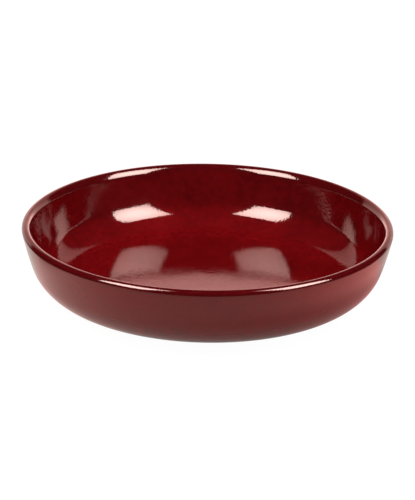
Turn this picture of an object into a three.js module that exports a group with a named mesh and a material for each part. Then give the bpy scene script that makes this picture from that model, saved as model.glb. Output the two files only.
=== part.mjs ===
// A deep round dish of glazed stoneware, turned on a wheel: a thick full-round lip, a straight
// wall that leans outwards, a wide cove, a gently dished floor and a low foot ring underneath.
// The fired clay is one solid. The glass coat on it is two more: one runs from the floor over
// the lip and down the outside to the foot ring, and a small one covers the recess inside the
// ring. The ring's standing face stays bare clay. Millimetres, +Z up, origin at the centre of
// the standing face.
import * as THREE from 'three';
import { mergeGeometries } from 'three/addons/utils/BufferGeometryUtils.js';

// Overall
const dishDiameter = 220;
const dishHeight = 47;

// Lip and wall
const lipThickness = 4.8;       // the lip is a full round of this width
const lipRollRadius = 6.4;      // softer curve where the lip rolls into the inside of the wall
const lipRollStart = 43;        // degrees above level at which the lip gives way to that curve
const wallThickness = 4.4;
const wallLean = 18.7;          // degrees that the outside of the wall leans from upright

// Cove and floor
const coveRadius = 19.8;        // inside radius between wall and floor
const floorSlope = 2.7;         // degrees that the floor has risen where it meets the cove
const floorThickness = 5.3;     // of clay and upper glaze at the centre
const outerCoveEnd = 66.8;      // degrees round the outer cove at which the heel begins

// Heel and foot ring
const heelWidth = 24;           // level distance from the end of the outer cove to the foot's fillet
const footHeight = 3.8;         // from the table to the heel
const footWidth = 5;            // of clay, side to side
const footFillet = 1.2;         // hollow curve between the foot and the surfaces beside it
const footEdge = 0.8;           // rounding on both edges of the standing face
const bareBand = 0.3;           // upright clay left bare above that rounding
const recessDepth = 3;          // of the clay underside above the table

// Glaze
const glazeThickness = 0.45;

const sides = 60;               // facets round the dish

const radians = THREE.MathUtils.degToRad;

// A point at a distance from a centre, in a direction measured from level outwards,
// anticlockwise in a section with the axis on its left.
function polar(centre, distance, angle) {
  return new THREE.Vector2(
    centre.x + distance * Math.cos(angle),
    centre.y + distance * Math.sin(angle),
  );
}

function arc(centre, radius, fromAngle, toAngle, steps) {
  return Array.from({ length: steps + 1 }, (_, i) =>
    polar(centre, radius, THREE.MathUtils.lerp(fromAngle, toAngle, i / steps)));
}

// A smooth curve between two points that leaves and arrives in the given directions.
function sweep(start, startAngle, end, endAngle, steps) {
  const reach = start.distanceTo(end) / 3;
  const curve = new THREE.CubicBezierCurve(
    start,
    polar(start, reach, startAngle),
    polar(end, -reach, endAngle),
    end,
  );
  return curve.getPoints(steps);
}

// Arcs that touch share their end point, which is kept once.
function joined(...runs) {
  return runs.flat().filter((point, i, all) => i === 0 || point.distanceTo(all[i - 1]) > 0.01);
}

// Section of the glazed dish. Every arc is tangent to the next, so the few centres below fix it.
const lean = radians(wallLean);
const slope = radians(floorSlope);
const lipRadius = lipThickness / 2;
const floorHeight = recessDepth + floorThickness;
const outerCoveRadius = coveRadius + wallThickness;
const lipCentre = new THREE.Vector2(dishDiameter / 2 - lipRadius, dishHeight - lipRadius);

// The cove's centre stands where the leaning wall touches both the lip and the outer cove,
// and the dished floor touches the inner cove.
const floorRise = Math.tan(slope / 2);
const coveCentreRadius = (
  lipCentre.x * Math.cos(lean)
  - (lipCentre.y - floorHeight - coveRadius) * Math.sin(lean)
  - (outerCoveRadius - lipRadius)
) / (Math.cos(lean) - floorRise * Math.sin(lean));
const coveCentre = new THREE.Vector2(
  coveCentreRadius,
  floorHeight + floorRise * coveCentreRadius + coveRadius,
);

const floorRadius = coveCentre.x / Math.sin(slope) + coveRadius;
const floorCentre = new THREE.Vector2(0, floorHeight + floorRadius);

const rollAngle = Math.PI - radians(lipRollStart);
const rollCentre = polar(lipCentre, lipRadius - lipRollRadius, rollAngle);

// Lean of the straight inside wall, which touches the inner cove and the lip's roll.
const coveToRoll = rollCentre.clone().sub(coveCentre);
const innerLean = Math.acos((coveRadius + lipRollRadius) / coveToRoll.length()) - coveToRoll.angle();

const heelStart = -radians(outerCoveEnd);
const heelOuterEnd = polar(coveCentre, outerCoveRadius, heelStart);

// The glaze stops at one height on both sides of the foot, and each fillet ends above it.
const glazeLine = footEdge + bareBand;
const heelFillet = Math.min(footFillet, footHeight - glazeLine);
const recessFillet = Math.min(footFillet, recessDepth - glazeThickness - glazeLine);
const heelFilletCentre = new THREE.Vector2(heelOuterEnd.x - heelWidth, footHeight - heelFillet);
const footOuterRadius = heelFilletCentre.x - heelFillet - glazeThickness;
const footInnerRadius = footOuterRadius - footWidth;
const recessFilletCentre = new THREE.Vector2(
  footInnerRadius - glazeThickness - recessFillet,
  recessDepth - glazeThickness - recessFillet,
);

// Floor, cove, inside wall, lip, outside wall, heel and foot, down to the glaze line,
// set in by a depth below the surface of the glaze.
function outsideRun(depth) {
  const heelTop = polar(coveCentre, outerCoveRadius - depth, heelStart);
  const heelFoot = polar(heelFilletCentre, heelFillet + depth, Math.PI / 2);
  return joined(
    arc(floorCentre, floorRadius + depth, -Math.PI / 2, slope - Math.PI / 2, 3),
    arc(coveCentre, coveRadius + depth, slope - Math.PI / 2, -innerLean, 7),
    arc(rollCentre, lipRollRadius - depth, Math.PI - innerLean, rollAngle, 2),
    arc(lipCentre, lipRadius - depth, rollAngle, -lean, 7),
    arc(coveCentre, outerCoveRadius - depth, -lean, heelStart, 5),
    sweep(heelTop, heelStart - Math.PI / 2, heelFoot, -Math.PI, 5),
    arc(heelFilletCentre, heelFillet + depth, Math.PI / 2, Math.PI, 2),
    [new THREE.Vector2(heelFilletCentre.x - heelFillet - depth, glazeLine)],
  );
}

// Underside of the recess and the inner side of the foot, down to the glaze line.
function recessRun(depth) {
  return joined(
    [new THREE.Vector2(0, recessFilletCentre.y + recessFillet + depth)],
    arc(recessFilletCentre, recessFillet + depth, Math.PI / 2, 0, 2),
    [new THREE.Vector2(recessFilletCentre.x + recessFillet + depth, glazeLine)],
  );
}

// The bare clay of the foot between the two glaze lines, with its flat standing face.
function bareFootRun() {
  const innerEdge = new THREE.Vector2(footInnerRadius + footEdge, footEdge);
  const outerEdge = new THREE.Vector2(footOuterRadius - footEdge, footEdge);
  return joined(
    arc(innerEdge, footEdge, -Math.PI, -Math.PI / 2, 2),
    arc(outerEdge, footEdge, -Math.PI / 2, 0, 2),
  );
}

// Turns a section about +Z. One that starts and ends on the axis makes a closed solid.
function turned(section) {
  const geometry = new THREE.LatheGeometry(section, sides);
  geometry.rotateX(Math.PI / 2);
  return geometry;
}

// A coat fills the space between its own surface and the clay's, and is closed where the two
// meet at the glaze line. It uses the clay's facets, turned to face the other way, so the two
// solids touch exactly.
function coat(glazeSection, claySection) {
  const claySide = turned(claySection);
  claySide.index.array.reverse();
  return mergeGeometries([turned(glazeSection), claySide]);
}

function piece(name, geometry, material) {
  const mesh = new THREE.Mesh(geometry, material);
  mesh.name = name;
  return mesh;
}

const stoneware = new THREE.MeshStandardMaterial({ color: 0xc2a785, roughness: 0.85, metalness: 0 });
const redGlaze = new THREE.MeshStandardMaterial({ color: 0x6e0d12, roughness: 0.08, metalness: 0 });

const clayOutside = outsideRun(glazeThickness).reverse();
const clayRecess = recessRun(glazeThickness);
const glazeOutside = [clayOutside[0], ...outsideRun(0).reverse()];
const glazeRecess = [...recessRun(0), clayRecess.at(-1)];

const dish = new THREE.Group();
dish.add(
  piece('stoneware_body', turned(joined(clayRecess, bareFootRun(), clayOutside)), stoneware),
  piece('glaze_coat', coat(glazeOutside, clayOutside), redGlaze),
  piece('foot_recess_glaze', coat(glazeRecess, clayRecess), redGlaze),
);

export default dish;
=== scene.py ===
import copy
import math

import bpy
from mathutils import Matrix, Vector


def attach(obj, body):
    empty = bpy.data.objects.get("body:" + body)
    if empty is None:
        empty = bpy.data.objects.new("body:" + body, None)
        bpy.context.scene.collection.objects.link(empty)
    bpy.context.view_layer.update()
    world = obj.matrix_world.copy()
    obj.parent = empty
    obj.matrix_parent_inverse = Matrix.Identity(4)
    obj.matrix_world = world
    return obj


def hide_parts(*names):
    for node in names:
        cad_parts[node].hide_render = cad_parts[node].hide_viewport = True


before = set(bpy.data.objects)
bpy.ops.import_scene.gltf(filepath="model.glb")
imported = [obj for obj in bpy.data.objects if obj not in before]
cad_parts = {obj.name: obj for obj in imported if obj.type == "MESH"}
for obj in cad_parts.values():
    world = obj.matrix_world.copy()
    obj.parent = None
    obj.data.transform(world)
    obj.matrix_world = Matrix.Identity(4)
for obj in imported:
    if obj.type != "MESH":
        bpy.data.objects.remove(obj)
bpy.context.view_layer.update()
scene = bpy.context.scene
mm = 0.001
quarter = math.pi / 2


class Wire:
    # one output of a node, so that maths on it reads as plain sums
    def __init__(self, web, socket):
        self.web = web
        self.socket = socket

    def maths(self, operation, *values):
        return self.web.node("ShaderNodeMath", {"operation": operation}, dict(enumerate(values)))

    def __add__(self, other): return self.maths("ADD", self, other)
    def __radd__(self, other): return self.maths("ADD", other, self)
    def __sub__(self, other): return self.maths("SUBTRACT", self, other)
    def __rsub__(self, other): return self.maths("SUBTRACT", other, self)
    def __mul__(self, other): return self.maths("MULTIPLY", self, other)
    def __rmul__(self, other): return self.maths("MULTIPLY", other, self)
    def __truediv__(self, other): return self.maths("DIVIDE", self, other)
    def __rtruediv__(self, other): return self.maths("DIVIDE", other, self)
    def __pow__(self, other): return self.maths("POWER", self, other)
    def __neg__(self): return self.maths("MULTIPLY", self, -1)
    def __abs__(self): return self.maths("ABSOLUTE", self)


def findSocket(sockets, key):
    if isinstance(key, int):
        return sockets[key]
    return next(s for s in sockets if s.enabled and key in (s.name, s.identifier))


class Web:
    # a node tree; every node comes from node()
    def __init__(self, tree):
        self.tree = tree
        tree.nodes.clear()

    def node(self, kind, settings=None, values=None, output=0):
        made = self.tree.nodes.new(kind)
        for name, setting in (settings or {}).items():
            setattr(made, name, setting)
        for key, value in (values or {}).items():
            self.feed(findSocket(made.inputs, key), value)
        return Wire(self, findSocket(made.outputs, output)) if len(made.outputs) else made

    def feed(self, socket, value):
        if isinstance(value, list):  # several wires into one socket
            for one in value:
                self.tree.links.new(one.socket, socket)
        elif isinstance(value, Wire):
            self.tree.links.new(value.socket, socket)
        else:
            socket.default_value = value


def sine(angle): return angle.maths("SINE", angle)
def cosine(angle): return angle.maths("COSINE", angle)
def least(one, other): return one.maths("MINIMUM", one, other)
def most(one, other): return one.maths("MAXIMUM", one, other)


def polar(centre, distance, angle):
    return centre[0] + distance * cosine(angle), centre[1] + distance * sine(angle)


# leans are measured from upright, the other angles from level
dish = {
    "Diameter": 220 * mm,
    "Height": 47 * mm,
    "Lip Thickness": 5.1 * mm,
    "Lip Roll Radius": 6.8 * mm,
    "Lip Roll Start": math.radians(45.1),
    "Inner Lean Top": math.radians(12.6),
    "Inner Lean Foot": math.radians(19.2),
    "Inner Wall Length": 19.2 * mm,
    "Inner Cove Radius": 21.0 * mm,
    "Floor Slope": math.radians(3.17),
    "Outer Lean Top": math.radians(12.1),
    "Outer Lean Foot": math.radians(18.4),
    "Outer Wall Length": 20.8 * mm,
    "Outer Cove Radius": 26.1 * mm,
    "Outer Cove End": math.radians(66.9),
    "Recess Depth": 3 * mm,
    "Heel Width": 24.6 * mm,
    "Foot Height": 3.8 * mm,
    "Foot Width": 5 * mm,
    "Foot Fillet": 1.2 * mm,
    "Foot Edge": 0.8 * mm,
    "Bare Band": 0.3 * mm,
    "Glaze Thickness": 0.45 * mm,
}
turning = {
    "Ring Step": 1.5 * mm,           # the longest way between two rings
    "Ring Turn": math.radians(3),    # and the most that the surface turns there
    "Sides": 216,
}
hiddenCoarser = 3            # times fewer rings on the surfaces that nobody sees
weldDistance = 0.01 * mm     # where one run ends and the next one starts


class Section:
    # half of the dish cut through, as curves in (radius, height)
    # each run has the open air on its left
    def __init__(self, web, size):
        self.web = web
        self.ringStep, self.ringTurn = size["Ring Step"], size["Ring Turn"]
        self.glaze = size["Glaze Thickness"]
        self.slope = size["Floor Slope"]
        self.zero = 0 * self.slope  # added to a plain angle, it makes that a wire
        self.outerTop, self.outerFoot = size["Outer Lean Top"], size["Outer Lean Foot"]
        self.leanTop, self.leanFoot = size["Inner Lean Top"], size["Inner Lean Foot"]
        self.rollRadius = size["Lip Roll Radius"]
        self.rollAngle = math.pi - size["Lip Roll Start"]
        self.coveRadius = size["Inner Cove Radius"]
        self.outerCoveRadius = size["Outer Cove Radius"]
        self.lipRadius = size["Lip Thickness"] / 2
        self.footEdge = size["Foot Edge"]
        self.lipCentre = (size["Diameter"] / 2 - self.lipRadius, size["Height"] - self.lipRadius)
        # every arc touches the next one, so each centre follows from the one before,
        # from the lip down the inside
        self.rollCentre = polar(self.lipCentre, self.lipRadius - self.rollRadius, self.rollAngle)
        self.wallRadius = size["Inner Wall Length"] / (self.leanFoot - self.leanTop)
        self.wallCentre = polar(
            self.rollCentre, self.rollRadius + self.wallRadius, math.pi - self.leanTop)
        self.coveCentre = polar(self.wallCentre, self.wallRadius - self.coveRadius, -self.leanFoot)
        self.floorRadius = self.coveCentre[0] / sine(self.slope) + self.coveRadius
        self.floorCentre = (
            0.0, self.coveCentre[1] + (self.floorRadius - self.coveRadius) * cosine(self.slope))
        # and from the lip down the outside
        self.outerRadius = size["Outer Wall Length"] / (self.outerFoot - self.outerTop)
        self.outerCentre = polar(self.lipCentre, self.lipRadius - self.outerRadius, -self.outerTop)
        self.outerCoveCentre = polar(
            self.outerCentre, self.outerRadius - self.outerCoveRadius, -self.outerFoot)
        self.heelStart = -size["Outer Cove End"]
        # the glaze stops at one height on both sides of the foot
        self.glazeLine = size["Foot Edge"] + size["Bare Band"]
        self.heelFillet = least(size["Foot Fillet"], size["Foot Height"] - self.glazeLine)
        self.recessFillet = least(
            size["Foot Fillet"], size["Recess Depth"] - self.glaze - self.glazeLine)
        heelOuterEnd = polar(self.outerCoveCentre, self.outerCoveRadius, self.heelStart)
        self.heelFilletCentre = (
            heelOuterEnd[0] - size["Heel Width"], size["Foot Height"] - self.heelFillet)
        self.footOuter = self.heelFilletCentre[0] - self.heelFillet - self.glaze
        self.footInner = self.footOuter - size["Foot Width"]
        self.recessCentre = (
            self.footInner - self.glaze - self.recessFillet,
            size["Recess Depth"] - self.glaze - self.recessFillet)

    def coarser(self):
        # the same section with fewer rings
        other = copy.copy(self)
        other.ringStep = self.ringStep * hiddenCoarser
        other.ringTurn = self.ringTurn * hiddenCoarser
        return other

    def place(self, point):
        return self.web.node("ShaderNodeCombineXYZ", {}, {0: point[0], 1: point[1]})

    def arc(self, centre, radius, start, end):
        turn = end - start
        rings = most(radius / self.ringStep, 1 / self.ringTurn) * abs(turn) + 2
        drawn = self.web.node("GeometryNodeCurveArc", {"mode": "RADIUS"}, {
            "Resolution": rings, "Radius": radius, "Start Angle": start, "Sweep Angle": turn})
        return self.web.node("GeometryNodeTransform", {}, {
            "Geometry": drawn, "Translation": self.place(centre)})

    def line(self, start, end):
        drawn = self.web.node("GeometryNodeCurvePrimitiveLine", {}, {
            "Start": self.place(start), "End": self.place(end)})
        return self.web.node("GeometryNodeResampleCurve", {"mode": "LENGTH"}, {
            "Curve": drawn, "Length": self.ringStep})

    def sweep(self, start, startWay, end, endWay):
        # one smooth S from start to end, leaving and arriving along the two directions
        across, up = end[0] - start[0], end[1] - start[1]
        length = (across * across + up * up) ** 0.5
        reach = length / 3
        return self.web.node("GeometryNodeCurvePrimitiveBezierSegment", {"mode": "POSITION"}, {
            "Resolution": length / self.ringStep + 4,
            "Start": self.place(start),
            "Start Handle": self.place(polar(start, reach, startWay)),
            "End Handle": self.place(polar(end, -reach, endWay)),
            "End": self.place(end)})

    def reverse(self, runs):
        return [self.web.node("GeometryNodeReverseCurve", {}, {"Curve": run}) for run in runs]

    def outside(self, depth):
        # floor, cove, wall, lip, outer wall, belly and heel, down to the glaze line,
        # set in by a depth below the surface of the glaze
        heelTop = polar(self.outerCoveCentre, self.outerCoveRadius - depth, self.heelStart)
        heelX, heelY = self.heelFilletCentre
        heelFoot = (heelX, heelY + self.heelFillet + depth)
        side = heelX - self.heelFillet - depth
        down, left = self.zero - quarter, self.zero + math.pi
        return [
            self.arc(self.floorCentre, self.floorRadius + depth, down, self.slope - quarter),
            self.arc(self.coveCentre, self.coveRadius + depth,
                     self.slope - quarter, -self.leanFoot),
            self.arc(self.wallCentre, self.wallRadius + depth, -self.leanFoot, -self.leanTop),
            self.arc(self.rollCentre, self.rollRadius - depth,
                     math.pi - self.leanTop, self.rollAngle),
            self.arc(self.lipCentre, self.lipRadius - depth, self.rollAngle, -self.outerTop),
            self.arc(self.outerCentre, self.outerRadius - depth, -self.outerTop, -self.outerFoot),
            self.arc(self.outerCoveCentre, self.outerCoveRadius - depth,
                     -self.outerFoot, self.heelStart),
            self.sweep(heelTop, self.heelStart - quarter, heelFoot, self.zero - math.pi),
            self.arc(self.heelFilletCentre, self.heelFillet + depth, self.zero + quarter, left),
            self.line((side, heelY), (side, self.glazeLine)),
        ]

    def recess(self, depth):
        # the inner side of the foot and the ceiling inside it, from the glaze line to the middle
        top = self.recessCentre[1] + self.recessFillet + depth
        side = self.recessCentre[0] + self.recessFillet + depth
        return [
            self.line((side, self.glazeLine), (side, self.recessCentre[1])),
            self.arc(self.recessCentre, self.recessFillet + depth, self.zero, self.zero + quarter),
            self.line((self.recessCentre[0], top), (0.0, top)),
        ]

    def bareFoot(self):
        # the wiped ring that the dish stands on
        edge, outer, inner = self.footEdge, self.footOuter, self.footInner
        down, left = self.zero - quarter, self.zero - math.pi
        return [
            self.line((outer, self.glazeLine), (outer, edge)),
            self.arc((outer - edge, edge), edge, self.zero, down),
            self.line((outer - edge, 0.0), (inner + edge, 0.0)),
            self.arc((inner + edge, edge), edge, down, left),
            self.line((inner, edge), (inner, self.glazeLine)),
        ]

    def glazeEdge(self, clayRadius, start, end):
        # the rounded end of a glaze coat on one side of the foot
        centre = (clayRadius, self.glazeLine)
        return [self.arc(centre, self.glaze, self.zero + start, self.zero + end)]


def turnedPiece(name, drawRuns, material):
    # a plain mesh of the section's runs turned about the axis
    tree = bpy.data.node_groups.new(name, "GeometryNodeTree")
    tree.is_modifier = True
    web = Web(tree)
    wanted = {**dish, **turning}
    tree.interface.new_socket(name="Geometry", in_out="OUTPUT", socket_type="NodeSocketGeometry")
    for label, value in wanted.items():
        kind = "NodeSocketInt" if isinstance(value, int) else "NodeSocketFloat"
        tree.interface.new_socket(name=label, in_out="INPUT", socket_type=kind)
    given = web.node("NodeGroupInput").socket.node
    size = {s.name: Wire(web, s) for s in given.outputs if s.name}
    runs = web.node("GeometryNodeJoinGeometry", {}, {0: drawRuns(Section(web, size))})
    # Curve to Mesh lays the section's first axis outwards and its second one downwards
    runs = web.node("GeometryNodeTransform", {}, {
        "Geometry": runs, "Scale": (1, -1, 1),
        "Translation": web.node("ShaderNodeCombineXYZ", {}, {0: size["Diameter"] * -0.5})})
    spin = web.node("GeometryNodeCurvePrimitiveCircle", {"mode": "RADIUS"}, {
        "Resolution": size["Sides"], "Radius": size["Diameter"] / 2})
    shell = web.node("GeometryNodeCurveToMesh", {}, {"Curve": spin, "Profile Curve": runs})
    shell = web.node("GeometryNodeMergeByDistance", {}, {
        "Geometry": shell, "Distance": weldDistance})
    shell = web.node("GeometryNodeSetShadeSmooth", {}, {"Geometry": shell})
    shell = web.node("GeometryNodeRealizeInstances", {}, {"Geometry": shell})
    shell = web.node("GeometryNodeSetMaterial", {}, {"Geometry": shell, "Material": material})
    web.node("NodeGroupOutput", {}, {0: shell})
    # the modifier's inputs go in by their identifiers, before the first evaluation
    blank = bpy.data.objects.new(name + "Maker", bpy.data.meshes.new(name + "Maker"))
    scene.collection.objects.link(blank)
    modifier = blank.modifiers.new("turning", "NODES")
    modifier.node_group = tree
    for item in tree.interface.items_tree:
        if item.in_out == "INPUT":
            modifier[item.identifier] = wanted[item.name]
    bpy.context.view_layer.update()
    turned = blank.evaluated_get(bpy.context.evaluated_depsgraph_get())
    mesh = bpy.data.meshes.new_from_object(turned)
    mesh.name = name
    bpy.data.objects.remove(blank)
    piece = bpy.data.objects.new(name, mesh)
    scene.collection.objects.link(piece)
    return piece


def newMaterial(name):
    material = bpy.data.materials.new(name)
    material.use_nodes = True
    return material, Web(material.node_tree)


def split(web, vector, axes):
    return [web.node("ShaderNodeSeparateXYZ", {}, {0: vector}, axis) for axis in axes]


def noise(web, place, scale, detail=2.0, roughness=0.5):
    return web.node("ShaderNodeTexNoise", {}, {
        "Vector": place, "Scale": scale, "Detail": detail, "Roughness": roughness}, "Fac")


def spread(web, value, ends):
    # value from the first end to the second one becomes 0 to 1
    return web.node("ShaderNodeMapRange", {"interpolation_type": "SMOOTHSTEP"}, {
        "Value": value, "From Min": ends[0], "From Max": ends[1]})


def fade(web, value, ends):
    return 1 - spread(web, value, ends)


def dots(web, place, scale, size):
    # round and soft, 1 in their middle; size is from full to none
    seeds = web.node("ShaderNodeTexVoronoi", {"feature": "F1"}, {
        "Vector": place, "Scale": scale}, "Distance")
    return fade(web, seeds, size)


def blendColour(web, factor, first, second, way="MIX"):
    return web.node("ShaderNodeMix", {"data_type": "RGBA", "blend_type": way}, {
        "Factor": factor, "A": first, "B": second}, "Result")


# scales are per metre
glazeLook = {
    "deep": (0.106, 0.001, 0.0025, 1),
    "bright": (0.198, 0.0031, 0.0046, 1),
    "fineScale": 1500,
    "cloudScale": 260,
    "poolScale": 30,
    "fineShare": 0.2,
    "cloudShare": 0.45,
    "poolShare": 0.35,
    "mottle": (0.26, 0.71),     # closer together is stronger
    "mottleMiddle": 0.45,       # between deep and bright
    "mottleOutside": 0.4,       # of its strength inside
    "insideUp": (0.0, 0.15),    # how far a face looks up where the inside begins
    "coveUp": (0.33, 0.6),      # and where the cove does
    "floorReach": (76 * mm, 46 * mm),       # from the axis
    "floorDrift": 40 * mm,      # how uneven that border is
    "wallPaintedShade": 0.84,          # painted shade: darker up the inside wall, where the coat is also thinner
    "covePaintedLight": 1.15,          # painted light: brightest in the cove, where the coat has also run together
    # painted shade: the floor less bright than the cove
    "floorPaintedShade": 0.88,
    "lip": (0.085, 0.0018, 0.003, 1),       # where the coat thins over the lip
    "lipHeight": (41.5 * mm, 45.5 * mm),
    "lipDrift": 2 * mm,
    "lipShare": 0.8,
    "speck": (0.3, 0.03, 0.022, 1),
    "speckScale": 330,
    "speckSize": (0.06, 0.16),
    "speckPatchScale": 160,     # the specks lie in patches
    "speckPatch": (0.6, 0.66),
    "speckShare": 0.25,
    "roughness": 0.055,
    "roughnessDrift": 0.03,
    "ior": 2.0,
    "tint": (1, 0.72, 0.68, 1),
    "peelScale": 700,           # orange peel
    "peelHeight": 0.03 * mm,
    "rippleScale": 95,
    "rippleHeight": 0.05 * mm,
}


def makeGlaze():
    look = glazeLook
    material, web = newMaterial("redGlaze")
    place = web.node("ShaderNodeTexCoord", {}, {}, "Object")
    facing = web.node("ShaderNodeTexCoord", {}, {}, "Normal")
    x, y, height = split(web, place, "XYZ")
    up = split(web, facing, "Z")[0]
    fine = noise(web, place, look["fineScale"])
    cloud = noise(web, place, look["cloudScale"], detail=3)
    pool = noise(web, place, look["poolScale"])
    inside = spread(web, up, look["insideUp"])
    # mottle, blotchier inside
    grain = fine * look["fineShare"] + cloud * look["cloudShare"] + pool * look["poolShare"]
    middle, calm = look["mottleMiddle"], look["mottleOutside"]
    tone = spread(web, grain, look["mottle"]) - middle
    tone = middle + tone * (calm + (1 - calm) * inside)
    colour = blendColour(web, tone, look["deep"], look["bright"])
    # painted light and shade on the inside, by how far a face looks up, over the coat's own
    # thickness
    cove = spread(web, up, look["coveUp"])
    fromAxis = (x * x + y * y) ** 0.5 + (pool - 0.5) * look["floorDrift"]
    floorPart = inside * spread(web, fromAxis, look["floorReach"])
    paintedShade = 1 + inside * (look["wallPaintedShade"] - 1) + cove * (look["covePaintedLight"] - look["wallPaintedShade"])
    paintedShade = paintedShade + floorPart * (look["floorPaintedShade"] - look["covePaintedLight"])
    colour = blendColour(web, 1.0, colour, paintedShade, "MULTIPLY")
    # thin over the lip
    thin = spread(web, height + (cloud - 0.5) * look["lipDrift"], look["lipHeight"])
    colour = blendColour(web, thin * look["lipShare"], colour, look["lip"])
    patchNoise = noise(web, place, look["speckPatchScale"], detail=1)
    patches = spread(web, patchNoise, look["speckPatch"])
    specks = dots(web, place, look["speckScale"], look["speckSize"]) * patches
    colour = blendColour(web, specks * look["speckShare"], colour, look["speck"])
    # orange peel on slow ripples
    peel = noise(web, place, look["peelScale"], detail=1)
    ripple = noise(web, place, look["rippleScale"], detail=0)
    waves = web.node("ShaderNodeBump", {}, {"Height": ripple, "Distance": look["rippleHeight"]})
    skin = web.node("ShaderNodeBump", {}, {
        "Height": peel, "Distance": look["peelHeight"], "Normal": waves})
    shader = web.node("ShaderNodeBsdfPrincipled", {}, {
        "Base Color": colour,
        "Roughness": look["roughness"] + look["roughnessDrift"] * (cloud - 0.5),
        "IOR": look["ior"], "Specular Tint": look["tint"], "Normal": skin})
    web.node("ShaderNodeOutputMaterial", {}, {"Surface": shader})
    return material


clayLook = {
    "pale": (0.52, 0.40, 0.27, 1),
    "dark": (0.36, 0.25, 0.15, 1),
    "mottle": (0.3, 0.7),
    "cloudScale": 90,
    "grainScale": 1400,
    "grainRoughness": 0.65,
    "grog": (0.14, 0.08, 0.045, 1),     # dark grains in the clay
    "grogScale": 900,
    "grogSize": (0.12, 0.3),
    "grogPatchScale": 500,
    "grogPatch": (0.52, 0.6),
    "grogDepth": 0.6,       # of the grain's height
    "roughness": 0.85,
    "grogGloss": 0.1,
    "grainHeight": 0.06 * mm,
}


def makeClay():
    look = clayLook
    material, web = newMaterial("bareStoneware")
    place = web.node("ShaderNodeTexCoord", {}, {}, "Object")
    cloud = noise(web, place, look["cloudScale"], detail=3)
    grain = noise(web, place, look["grainScale"], 3, look["grainRoughness"])
    tone = spread(web, cloud * 0.5 + grain * 0.5, look["mottle"])  # half of each
    colour = blendColour(web, tone, look["dark"], look["pale"])
    patchNoise = noise(web, place, look["grogPatchScale"], detail=1)
    patches = spread(web, patchNoise, look["grogPatch"])
    grog = dots(web, place, look["grogScale"], look["grogSize"]) * patches
    colour = blendColour(web, grog, colour, look["grog"])
    bump = web.node("ShaderNodeBump", {}, {
        "Height": grain - grog * look["grogDepth"], "Distance": look["grainHeight"]})
    shader = web.node("ShaderNodeBsdfPrincipled", {}, {
        "Base Color": colour, "Roughness": look["roughness"] - look["grogGloss"] * grog,
        "Normal": bump})
    web.node("ShaderNodeOutputMaterial", {}, {"Surface": shader})
    return material


redGlaze = makeGlaze()
bareClay = makeClay()
print("materials made")


def coatRuns(section):
    hidden = section.coarser().outside(section.glaze)
    edge = section.glazeEdge(section.footOuter, 0, -quarter)
    return section.outside(0.0) + edge + section.reverse(hidden)


def recessCoatRuns(section):
    hidden = section.coarser().recess(section.glaze)
    edge = section.glazeEdge(section.footInner, -quarter, -math.pi)
    return section.recess(0.0) + section.reverse(hidden) + edge


def bodyRuns(section):
    hidden = section.coarser()
    return hidden.outside(section.glaze) + section.bareFoot() + hidden.recess(section.glaze)


pieces = (
    # name, section, material, CAD node, material slot
    ("glazeCoat", coatRuns, redGlaze, "glaze_coat", "red_glaze"),
    ("footRecessGlaze", recessCoatRuns, redGlaze, "foot_recess_glaze", "red_glaze"),
    ("stonewareBody", bodyRuns, bareClay, "stoneware_body", "stoneware"),
)
for name, drawRuns, material, node, slot in pieces:
    piece = turnedPiece(name, drawRuns, material)
    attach(piece, "root")
    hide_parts(node)
    print(piece.name, len(piece.data.vertices), "points")


room = {
    "soft": 0.19,       # light from all round, on the dish
    "shine": 0.012,     # what shows of it in reflections
}


def makeStageMesh(name, corners, material):
    mesh = bpy.data.meshes.new(name)
    mesh.from_pydata(corners, [], [range(len(corners))])
    mesh.materials.append(material)
    thing = bpy.data.objects.new(name, mesh)
    scene.collection.objects.link(thing)
    return thing


def mixShader(web, factor, first, second):
    return web.node("ShaderNodeMixShader", {}, {0: factor, 1: first, 2: second})


def glow(web, colour, strength=1.0):
    return web.node("ShaderNodeEmission", {}, {"Color": colour, "Strength": strength})


# lengths in metres, pairs are where a change begins and ends
floorLook = {
    "size": 7.0,
    "grey": 0.62,
    "grainScale": 60,
    "grainShade": 0.02,
    "white": 1.06,              # what the camera sees away from the shadow
    "shadowShare": 0.14,        # of the dish's shadow that the camera sees
    "edges": (-0.152, 0.21, -0.175),    # where the paper ends left, right and in front
    "edgeSoftness": (-0.02, 0.02),
    "slant": 0.15,              # of its front edge, forwards to the right
    "widening": 0.65,           # how fast it widens behind
    "front": 0.29,              # how bright it is before the dish
    "side": 0.72,               # and beside it
    "frontToSide": (-0.17, 0.05),
    "lean": 0.7,                # by how much its left side is brighter than its right one
    "leanReach": 0.13,
    "near": 0.62,               # painted shadow of the dish: the share left close to its right side
    "nearReach": (0.118, 0.136),        # from the axis
    "nearSide": (-0.09, 0.09),
    "cool": (1.05, 1.0, 0.93, 1),       # colour of the paper, before the dish
    "warm": (2.38, 1.0, 0.93, 1),       # and to its right
    "warmRight": (0.02, 0.15),
    "warmLeft": (0.0, -0.12),
    "warmLeftShare": 0.34,
    "warmEnd": (-0.005, 0.04),          # behind this it is cool again
    "warmEndShare": 0.83,
}


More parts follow.
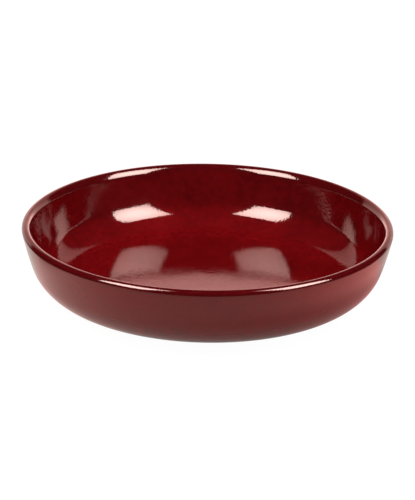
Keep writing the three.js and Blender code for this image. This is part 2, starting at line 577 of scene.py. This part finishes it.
def makeFloorMaterial():
    # the camera sees white with some of the dish's shadow, and reflections see a glowing sheet of
    # paper that ends near the dish, with its light and shade painted on
    look = floorLook
    material, web = newMaterial("paleFloor")
    cameraRay = web.node("ShaderNodeLightPath", {}, {}, "Is Camera Ray")
    glossyRay = web.node("ShaderNodeLightPath", {}, {}, "Is Glossy Ray")
    below = web.node("ShaderNodeNewGeometry", {}, {}, "Backfacing")
    place = web.node("ShaderNodeTexCoord", {}, {}, "Object")
    x, y = split(web, place, "XY")
    grain = noise(web, place, look["grainScale"])
    low, high = look["grey"] - look["grainShade"], look["grey"] + look["grainShade"]
    grey = blendColour(web, grain, (low, low, low, 1), (high, high, high, 1))
    matte = web.node("ShaderNodeBsdfDiffuse", {}, {"Color": grey})
    share = look["shadowShare"]
    white = glow(web, (1, 1, 1, 1), (look["white"] - look["grey"] * share) / (1 - share))
    # the paper's outline
    left, right, front = look["edges"]
    sideways = least(x - left, right - x) + most(y, 0.0) * look["widening"]
    inside = least(sideways, y - front + look["slant"] * most(x, 0.0))
    # its brightness, painted: dimmer before the dish, brighter to the left, and a painted shadow
    # close to the dish on its right
    reach = look["leanReach"]
    side = look["side"] - look["lean"] * least(most(x, -reach), reach)
    level = look["front"] + (side - look["front"]) * spread(web, y, look["frontToSide"])
    fromAxis = (x * x + y * y) ** 0.5
    near = fade(web, fromAxis, look["nearReach"]) * spread(web, x, look["nearSide"])
    level = level * (1 + (look["near"] - 1) * near)
    # its colour
    warmLeft = look["warmLeftShare"] * spread(web, x, look["warmLeft"])
    warm = spread(web, x, look["warmRight"]) + warmLeft
    warm = warm * (1 - look["warmEndShare"] * spread(web, y, look["warmEnd"]))
    shine = blendColour(web, warm, look["cool"], look["warm"])
    paper = glow(web, shine, level * spread(web, inside, look["edgeSoftness"]) + room["shine"])
    surface = mixShader(web, cameraRay * (1 - share), matte, white)
    surface = mixShader(web, glossyRay, surface, paper)
    # from underneath the camera sees through it
    surface = mixShader(
        web, below * cameraRay, surface, web.node("ShaderNodeBsdfTransparent"))
    web.node("ShaderNodeOutputMaterial", {}, {"Surface": surface})
    return material


# a glowing card behind the dish, seen only in reflections, with painted light: brighter low down
# and right behind the dish
cardLook = {
    "place": 0.6,
    "halfWidth": 1.0,
    "middle": -0.07,
    "reach": 0.78,              # to either side of its middle, at the foot of its round top
    "height": 0.55,
    "edge": (1.12, 0.9),        # from outside to inside, in squares of its reach
    "margin": 1.1,              # its mesh is this many times higher, to hold that edge
    "foot": 0.7,                # brightness at its foot, and how fast it falls with height
    "fall": 0.8,
    "low": 0.5,                 # how much brighter it is near the table
    "lowHeight": (0.2, 0.3),
    "lowSide": (0.15, 0.35),
    "lowSideShare": 0.8,
    "glow": 0.8,                # and how much more right behind the dish
    "glowHeight": (0.1, 0.18),
    "glowSide": (0.15, 0.3),
    "cool": (1.48, 1.0, 0.92, 1),
    "warm": (1.75, 1.0, 0.92, 1),       # right behind the dish
    "warmSide": (0.1, 0.3),
    "warmHeight": (0.1, 0.2),
}


def makeCardMaterial():
    look = cardLook
    material, web = newMaterial("whiteCard")
    x, height = split(web, web.node("ShaderNodeTexCoord", {}, {}, "Object"), "XZ")
    aside = abs(x)
    sides = 1 - look["lowSideShare"] * spread(web, aside, look["lowSide"])
    level = look["foot"] - look["fall"] * height
    level = level + look["low"] * fade(web, height, look["lowHeight"]) * sides
    behind = fade(web, height, look["glowHeight"]) * fade(web, aside, look["glowSide"])
    level = level + look["glow"] * behind
    across, up = (x - look["middle"]) / look["reach"], height / look["height"]
    inside = spread(web, across * across + up * up, look["edge"])
    warm = fade(web, aside, look["warmSide"]) * spread(web, height, look["warmHeight"])
    shine = glow(web, blendColour(web, warm, look["cool"], look["warm"]),
                 level * inside + room["shine"])
    web.node("ShaderNodeOutputMaterial", {}, {"Surface": shine})
    return material


half = floorLook["size"] / 2
makeStageMesh(
    "floor", [(-half, -half, 0), (half, -half, 0), (half, half, 0), (-half, half, 0)],
    makeFloorMaterial())
wide, far = cardLook["halfWidth"], cardLook["place"]
high = cardLook["height"] * cardLook["margin"]
card = makeStageMesh(
    "card", [(-wide, far, 0), (wide, far, 0), (wide, far, high), (-wide, far, high)],
    makeCardMaterial())
card.visible_camera = card.visible_diffuse = False
card.visible_shadow = card.visible_transmission = False

world = bpy.data.worlds.new("softRoom")
scene.world = world
world.use_nodes = True
web = Web(world.node_tree)
cameraRay = web.node("ShaderNodeLightPath", {}, {}, "Is Camera Ray")
glossyRay = web.node("ShaderNodeLightPath", {}, {}, "Is Glossy Ray")
strength = room["soft"] * (1 - cameraRay) * (1 - glossyRay) + cameraRay + glossyRay * room["shine"]
white = web.node("ShaderNodeBackground", {}, {"Color": (1, 1, 1, 1), "Strength": strength})
web.node("ShaderNodeOutputWorld", {}, {0: white})
print("floor, card and room made")


# angles in degrees, lengths in metres, powers in watts
lampLook = {
    "aim": (0, 0, 0.072),       # where the softboxes point
    "away": 0.9,
    "shine": 9.9,               # the middle of a softbox in reflections
    "tint": (1.02, 1.0, 0.96),
    "fall": 2.7,                # how fast a softbox dims away from its middle
    "fallAcross": 1.4,          # and how many times faster sideways
    "twinGap": 0.03,            # between what is mirrored and what lights
    "overhead": 6.4,
    "overheadPlace": (0, 0.1, 1.8),
    "overheadSize": (1.6, 1.6),
}
softBoxes = (
    {"name": "rightBox", "azimuth": 62.4, "elevation": 37.2, "size": (0.494, 0.752),
     "tilt": -8.3, "soft": 4.9},
    {"name": "leftBox", "azimuth": -51.9, "elevation": 40.0, "size": (0.468, 0.70),
     "tilt": 3.6, "soft": 4.7},
)


def addLamp(name, size, matrix, power, diffuse, glossy):
    lamp = bpy.data.lights.new(name, "AREA")
    lamp.shape = "RECTANGLE"
    lamp.size, lamp.size_y = size
    lamp.energy = power
    thing = bpy.data.objects.new(name, lamp)
    scene.collection.objects.link(thing)
    thing.matrix_world = matrix
    thing.visible_camera = False
    thing.visible_diffuse = diffuse
    thing.visible_glossy = glossy
    return thing


def fadeLamp(lamp):
    # brightest in the middle, as a softbox with one bulb behind its cloth
    lamp.use_nodes = True
    web = Web(lamp.node_tree)
    u, v = split(web, web.node("ShaderNodeNewGeometry", {}, {}, "Parametric"), "XY")
    across, along = (u - 0.5) * lamp.size, (v - 0.5) * lamp.size_y
    distance = across * across * lampLook["fallAcross"] + along * along
    web.node("ShaderNodeOutputLight", {}, {
        0: glow(web, (1, 1, 1, 1), 1 - lampLook["fall"] * distance)})


for box in softBoxes:
    azimuth, elevation, tilt = (math.radians(box[k]) for k in ("azimuth", "elevation", "tilt"))
    outwards = Vector((
        math.sin(azimuth) * math.cos(elevation),
        -math.cos(azimuth) * math.cos(elevation),
        math.sin(elevation)))
    level = Vector((math.cos(azimuth), math.sin(azimuth), 0))
    upright = outwards.cross(level)
    across = level * math.cos(tilt) + upright * math.sin(tilt)
    along = upright * math.cos(tilt) - level * math.sin(tilt)
    axes = Matrix((across, along, outwards)).transposed().to_4x4()
    axes.translation = Vector(lampLook["aim"]) + outwards * lampLook["away"]
    area = box["size"][0] * box["size"][1]
    shine = addLamp(box["name"] + "Shine", box["size"], axes,
                    lampLook["shine"] * area * math.pi, False, True)
    shine.data.color = lampLook["tint"]
    fadeLamp(shine.data)
    # behind its twin, because two lamps in one place hide each other
    axes.translation += outwards * lampLook["twinGap"]
    addLamp(box["name"] + "Soft", box["size"], axes, box["soft"], True, False)
addLamp("overheadSoft", lampLook["overheadSize"],
        Matrix.Translation(lampLook["overheadPlace"]), lampLook["overhead"], True, False)
print("lamps made")


# angles in degrees
view = {
    "target": (0.15 * mm, 0, 29.4 * mm),
    "distance": 1346.8 * mm,
    "elevation": 21.02,
    "roll": 0.93,
    "pixelsFocal": 2260.8,      # focal length in pixels of a picture with this long side
    "longSide": 500,
    "sensor": 36,
    "farthest": 30,
}
tip, roll = math.radians(view["elevation"]), math.radians(view["roll"])
back = Vector((0, -math.cos(tip), math.sin(tip)))
right, upwards = Vector((1, 0, 0)), Vector((0, math.sin(tip), math.cos(tip)))
cameraAcross = right * math.cos(roll) + upwards * math.sin(roll)
cameraUp = upwards * math.cos(roll) - right * math.sin(roll)
cameraData = bpy.data.cameras.new("camera")
cameraData.sensor_width = view["sensor"]
cameraData.lens = view["pixelsFocal"] * view["sensor"] / view["longSide"]
cameraData.clip_end = view["farthest"]
camera = bpy.data.objects.new("camera", cameraData)
scene.collection.objects.link(camera)
pose = Matrix((cameraAcross, cameraUp, back)).transposed().to_4x4()
pose.translation = Vector(view["target"]) + back * view["distance"]
camera.matrix_world = pose
scene.camera = camera
scene.view_settings.view_transform = "Standard"
print("camera placed")
